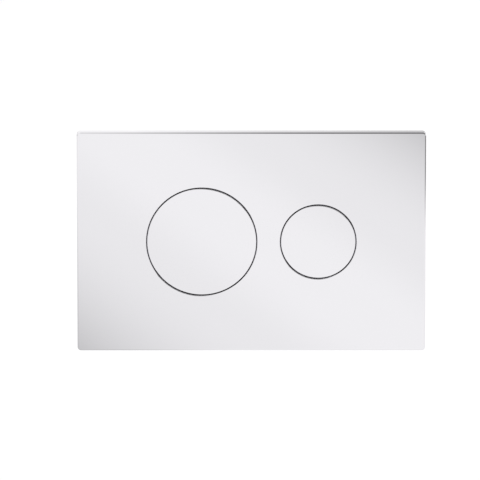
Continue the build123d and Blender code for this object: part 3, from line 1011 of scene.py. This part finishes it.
@dataclass
class Studio:
    """A plain pale studio: the world round the part, the floor and the soft boxes.

    Attributes:
        floor_height: Height of the floor.
        floor_size: Width of the floor.
        floor_shade: Paleness of the floor to the light.
        shown_shade: Paleness of the floor to the camera, which its shadows are seen by.
        floor_glow: Glow of the floor to the camera, which brings it up to white.
        glossy_glow: Glow of the floor to the chrome.
        lamps: The soft boxes.
        ambient: Strength of the light from all round.
        sky: What the chrome sees at the horizon and overhead, where 1 is white.
        sky_rise: Sine of the angles between which it goes from the one to the other.
    """

    floor_height: float = -300 * MM
    floor_size: float = 30.0
    floor_shade: float = 0.85
    shown_shade: float = 0.30
    floor_glow: float = 0.75
    glossy_glow: float = 0.25
    lamps: tuple[Lamp, ...] = (
        Lamp("key_light", place=(-0.9, -1.7, 1.6), size=1.2, power=20.0),
        Lamp("back_light", place=(1.0, 1.9, 1.5), size=1.2, power=18.0),
    )
    ambient: float = 0.62
    sky: Span = (0.85, 0.45)
    sky_rise: Span = (0.2, 0.9)

    def build(self) -> None:
        """Builds the studio."""
        self._world()
        self._floor()
        for lamp in self.lamps:
            lamp.build()

    def _world(self) -> None:
        """Makes a world that is white to the camera and darker overhead to the chrome."""
        world = bpy.data.worlds.new("studio")
        world.use_nodes = True
        bpy.context.scene.world = world
        graph = Graph(world.node_tree)
        path = graph.add("ShaderNodeLightPath").outputs
        towards = graph.add("ShaderNodeTexCoord").outputs["Generated"]
        rise = graph.add("ShaderNodeSeparateXYZ", Vector=towards).outputs["Z"]
        sky = graph.span(rise, self.sky_rise, self.sky, Ease.SOFT)
        shown = graph.math("MAXIMUM", path["Is Glossy Ray"], path["Is Transmission Ray"])
        seen = graph.mix(path["Is Camera Ray"], graph.mix(shown, self.ambient, sky), 1.0)
        light = graph.add("ShaderNodeBackground", Color=WHITE, Strength=seen)
        graph.add("ShaderNodeOutputWorld", Surface=light.outputs[0])

    def _floor(self) -> None:
        """Makes a pale floor, white to the camera but for the part's shadow, and clear from below."""
        material = bpy.data.materials.new("pale_floor")
        material.use_nodes = True
        graph = Graph(material.node_tree)
        path = graph.add("ShaderNodeLightPath").outputs
        shade = graph.mix(path["Is Camera Ray"], self.floor_shade, self.shown_shade)
        matt = graph.add("ShaderNodeBsdfDiffuse", Color=shade)
        shown = graph.math("MAXIMUM", path["Is Glossy Ray"], path["Is Transmission Ray"])
        lit = graph.math("MULTIPLY", shown, self.glossy_glow)
        strength = graph.mix(path["Is Camera Ray"], lit, self.floor_glow)
        glow = graph.add("ShaderNodeEmission", Color=WHITE, Strength=strength)
        both = graph.add("ShaderNodeAddShader")
        graph.feed(both.inputs[0], matt.outputs[0])
        graph.feed(both.inputs[1], glow.outputs[0])
        clear = graph.add("ShaderNodeBsdfTransparent")
        backfacing = graph.add("ShaderNodeNewGeometry").outputs["Backfacing"]
        below = graph.math("MULTIPLY", backfacing, path["Is Camera Ray"])
        surface = graph.add("ShaderNodeMixShader")
        graph.feed(surface.inputs[0], below)
        graph.feed(surface.inputs[1], both.outputs[0])
        graph.feed(surface.inputs[2], clear.outputs[0])
        graph.add("ShaderNodeOutputMaterial", Surface=surface.outputs[0])
        ends = (-self.floor_size / 2, self.floor_size / 2)
        make_stage("floor", level_corners(ends, ends, self.floor_height), material)


def level_corners(x: Span, y: Span, z: float) -> tuple[Point, ...]:
    """Gives the corners of a level card, in order."""
    return ((x[0], y[0], z), (x[1], y[0], z), (x[1], y[1], z), (x[0], y[1], z))


def upright_corners(x: Span, y: float, z: Span) -> tuple[Point, ...]:
    """Gives the corners of an upright card that faces the room, in order."""
    return ((x[0], y, z[0]), (x[1], y, z[0]), (x[1], y, z[1]), (x[0], y, z[1]))


def make_stage(name: str, corners: tuple[Point, ...], material: bpy.types.Material) -> bpy.types.Object:
    """Makes a flat piece of the stage.

    Args:
        name: Its name.
        corners: Its corners in order.
        material: Its material.

    Returns:
        The object.
    """
    mesh = bpy.data.meshes.new(name)
    mesh.from_pydata(corners, [], [tuple(range(len(corners)))])
    mesh.materials.append(material)
    stage = bpy.data.objects.new(name, mesh)
    bpy.context.scene.collection.objects.link(stage)
    return stage


@dataclass(frozen=True)
class Change:
    """A change of brightness on the way across a card.

    Attributes:
        start: Where it starts.
        end: Where it ends.
        levels: Brightness before and after it, where 1 is white.
        ease: How it goes from one to the other.
    """

    start: float
    end: float
    levels: Span
    ease: Ease = Ease.SOFT

    def add(self, graph: Graph, place: bpy.types.NodeSocket) -> bpy.types.NodeSocket:
        """Adds the nodes that give the brightness at a place on the way."""
        return graph.span(place, (self.start, self.end), self.levels, self.ease)


@dataclass(frozen=True)
class Card:
    """A card that only the chrome sees, glowing with painted light that is brighter at one side than at the
    other.

    Attributes:
        name: Its name.
        corners: Its corners in order.
        across: Its painted glow from left to right.
    """

    name: str
    corners: tuple[Point, ...]
    across: Change

    def build(self) -> None:
        """Makes the card."""
        material = bpy.data.materials.new(self.name)
        material.use_nodes = True
        graph = Graph(material.node_tree)
        # The card is no lamp: its glow is painted light, which the chrome shows as a painted reflection.
        place = graph.add("ShaderNodeNewGeometry").outputs["Position"]
        glow = graph.add("ShaderNodeEmission", Color=WHITE, Strength=self._brightness(graph, place))
        graph.add("ShaderNodeOutputMaterial", Surface=glow.outputs[0])
        card = make_stage(self.name, self.corners, material)
        card.visible_camera = False
        card.visible_diffuse = False
        card.visible_shadow = False

    def _brightness(self, graph: Graph, place: bpy.types.NodeSocket) -> bpy.types.NodeSocket:
        """Adds the nodes of the brightness at a place on the card."""
        return self.across.add(graph, graph.add("ShaderNodeSeparateXYZ", Vector=place).outputs["X"])


@dataclass(frozen=True)
class SweepCard(Card):
    """The level card under the plate, whose glow is painted light: a soft painted strip of light crosses it
    in front.

    Attributes:
        middle: A point in the middle of the painted strip of light.
        front: How the strip's brightness gives way to that of the edges, on the way to the wall.
        back: How that of the edges gives way to the plain floor behind.
        floor: Painted glow of the plain floor behind, darker near the plate as painted shade.
        left: Painted glow under the plate's edges from the left, which across is added to.
        right: What is added to it far to the right, a painted darkening.
        run: Run across the strip over which its shading is measured.
        strip: Brightness from the middle of the strip outward, in runs.
        fade_from: Runs from the middle at which a slow fade begins.
        fades: Painted darkening over the fade's first run to each side; it grows with the square.
        least: Brightness that it doesn't go under.
    """

    middle: Point
    front: Change
    back: Change = Change(20 * MM, 60 * MM, (0.0, 1.0))
    floor: Change = Change(50 * MM, 900 * MM, (0.50, 0.85))
    left: Change = Change(-650 * MM, -130 * MM, (0.93, 0.60), Ease.EVEN)
    right: Change = Change(480 * MM, 720 * MM, (0.0, -0.69))
    run: Point = (134 * MM, -44.3 * MM, 0.0)
    strip: Change = Change(0.17, 0.71, (1.0, 0.937))
    fade_from: float = 0.70
    fades: Span = (0.343, 0.283)
    least: float = 0.50

    def _brightness(self, graph: Graph, place: bpy.types.NodeSocket) -> bpy.types.NodeSocket:
        """Adds the nodes of the brightness.

        Args:
            graph: The card's nodes.
            place: The place on the card.

        Returns:
            The brightness.
        """
        axes = graph.add("ShaderNodeSeparateXYZ", Vector=place).outputs
        # Painted light: the glow under the plate's edges, brighter from the left and darker far to the right
        # as painted shade.
        edges = graph.math("ADD", self.left.add(graph, axes["X"]), self.across.add(graph, axes["X"]))
        edges = graph.math("ADD", edges, self.right.add(graph, axes["X"]))
        front = graph.mix(self.front.add(graph, axes["Y"]), self._painted_strip(graph, place), edges)
        # Behind the plate the glow turns into a painted floor, darker near the plate as painted shade.
        return graph.mix(self.back.add(graph, axes["Y"]), front, self.floor.add(graph, axes["Y"]))

    def _painted_strip(self, graph: Graph, place: bpy.types.NodeSocket) -> bpy.types.NodeSocket:
        """Adds the nodes of the painted strip of light and its painted fade to both sides.

        Args:
            graph: The card's nodes.
            place: The place on the card.

        Returns:
            The brightness in front of the plate.
        """
        away = graph.add("ShaderNodeVectorMath", {"operation": "SUBTRACT"})
        graph.feed(away.inputs[0], place)
        graph.feed(away.inputs[1], self.middle)
        share = graph.add("ShaderNodeVectorMath", {"operation": "DOT_PRODUCT"})
        graph.feed(share.inputs[0], away.outputs[0])
        graph.feed(share.inputs[1], Vector(self.run) / Vector(self.run).length_squared)
        distance = graph.math("ABSOLUTE", share.outputs["Value"])
        # Painted light: a bright strip whose glow fades to painted shade on both sides.
        fade = graph.mix(graph.math("GREATER_THAN", share.outputs["Value"], 0.0), *self.fades)
        beyond = graph.math("MAXIMUM", graph.math("SUBTRACT", distance, self.fade_from), 0.0)
        painted_darkening = graph.math("MULTIPLY", graph.math("MULTIPLY", beyond, beyond), fade)
        light = graph.math("SUBTRACT", self.strip.add(graph, distance), painted_darkening)
        return graph.math("MAXIMUM", light, self.least)


@dataclass
class CardSet:
    """The cards round the plate, whose painted glow the chrome shows as painted reflections, placed by the
    rays that the chrome sends on from the camera.

    Attributes:
        drop: Distance of the level card under the plate.
        reach: How far the level card goes to each side.
        across: What is added to its painted glow under the plate, from left to right.
        strip_distance: How far in front of the plate's face the painted strip of light crosses it.
        front: Distances from the face between which the strip gives way to the edges' brightness.
        overhead: Height of the card above the plate.
        overhead_depth: Its two ends in depth.
        overhead_across: Its painted glow from left to right.
        behind: Distance of the backdrop behind the plate.
        backdrop_height: Its lower and upper edge.
        backdrop_across: Its painted glow from left to right.
        half_width: Half width of the card above and of the backdrop.
    """

    drop: float = 5 * MM
    reach: float = 4.0
    across: Change = Change(-115 * MM, 0.0, (0.0, 0.36))
    strip_distance: float = 376 * MM
    front: Span = (21 * MM, 5 * MM)
    overhead: float = 320 * MM
    overhead_depth: Span = (-400 * MM, 100 * MM)
    overhead_across: Change = Change(-200 * MM, 70 * MM, (0.95, 0.20))
    behind: float = 400 * MM
    backdrop_height: Span = (100 * MM, 600 * MM)
    backdrop_across: Change = Change(-90 * MM, 120 * MM, (1.0, 0.63), Ease.EVEN)
    half_width: float = 800 * MM

    def build(self, low: Vector, high: Vector) -> None:
        """Makes the cards.

        Args:
            low: Lowest corner of the plate.
            high: Highest corner of the plate.
        """
        level = low.z - self.drop
        ends = (-self.reach, self.reach)
        middle = (0.0, low.y - self.strip_distance, level)
        first, last = self.front
        front = Change(low.y - first, low.y - last, (0.0, 1.0))
        # Three cards that glow with painted light only for the chrome: painted reflections, not lamps.
        SweepCard("sweep_card", level_corners(ends, ends, level), self.across, middle, front).build()
        sides = (-self.half_width, self.half_width)
        ceiling = level_corners(sides, self.overhead_depth, high.z + self.overhead)
        Card("overhead_card", ceiling, self.overhead_across).build()
        backdrop = upright_corners(sides, high.y + self.behind, self.backdrop_height)
        Card("backdrop_card", backdrop, self.backdrop_across).build()


FRAME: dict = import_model()


def main() -> None:
    """Builds the part and its studio, and logs the dressing and the new pieces."""
    logging.basicConfig(level=logging.INFO, format="%(name)s: %(message)s")
    bpy.context.scene.view_settings.view_transform = "Standard"
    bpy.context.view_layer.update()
    wardrobe = Wardrobe(FRAME["record"])
    for name, node in FRAME["nodes"].items():
        wardrobe.dress_node(name, node)
        LOG.info("%s is dressed in %s", name, wardrobe.slots[name])
    for node in ("mounting_frame", "button_chassis"):
        SoftMoulding(node).build(wardrobe)
    for flush in Flush:
        PushButton(flush).build(wardrobe)
        PushRod(flush).build(wardrobe)
    ChassisScrews().build(wardrobe)
    FixingStuds().build(wardrobe)
    ThumbNuts().build(wardrobe)
    plate_low, plate_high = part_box("front_plate")
    Camera().build(plate_low.y)
    Studio().build()
    CardSet().build(plate_low, plate_high)


if __name__ == "__main__":
    main()
